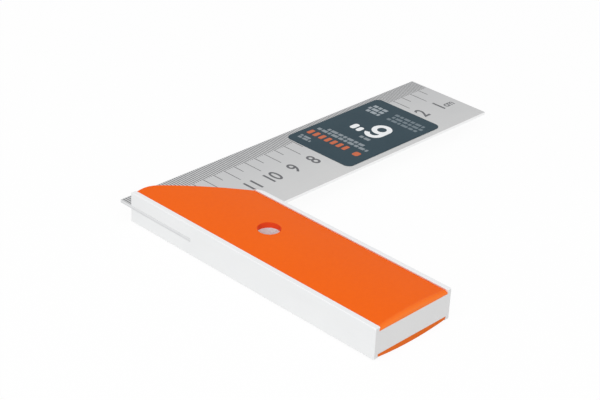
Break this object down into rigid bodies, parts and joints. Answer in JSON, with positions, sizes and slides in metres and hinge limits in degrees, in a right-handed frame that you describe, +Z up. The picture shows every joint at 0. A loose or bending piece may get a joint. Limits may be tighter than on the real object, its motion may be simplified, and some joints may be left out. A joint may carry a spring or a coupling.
{
  "type": "carpenter square",
  "caption": "Small carpenter's try square with a graduated steel blade let at right angles into a mitred aluminium stock with plastic inlays.",
  "frame": {"origin": "the heel: the blade's outer edge, in the plane of the stock's outer face, at half the thickness", "axes": "+X along the stock from heel to free end, +Y along the blade from heel to tip, +Z up through the thickness"},
  "size_m": [0.1175, 0.151, 0.0122],
  "materials": {
    "stock_metal": "fine matt, clear anodised",
    "blade_steel": "brushed stainless steel with engraved, dark filled marks",
    "inlay_plastic": "fine grained orange moulding",
    "rivet_steel": "plain, ground flush",
    "label_film": "printed film"
  },
  "bodies": {
    "root": {"stock": "stock_metal", "blade": "blade_steel", "inlay_top": "inlay_plastic", "inlay_bottom": "inlay_plastic", "rivet_1": "rivet_steel", "rivet_2": "rivet_steel", "rivet_3": "rivet_steel", "label": "label_film"}
  },
  "joints": []
}
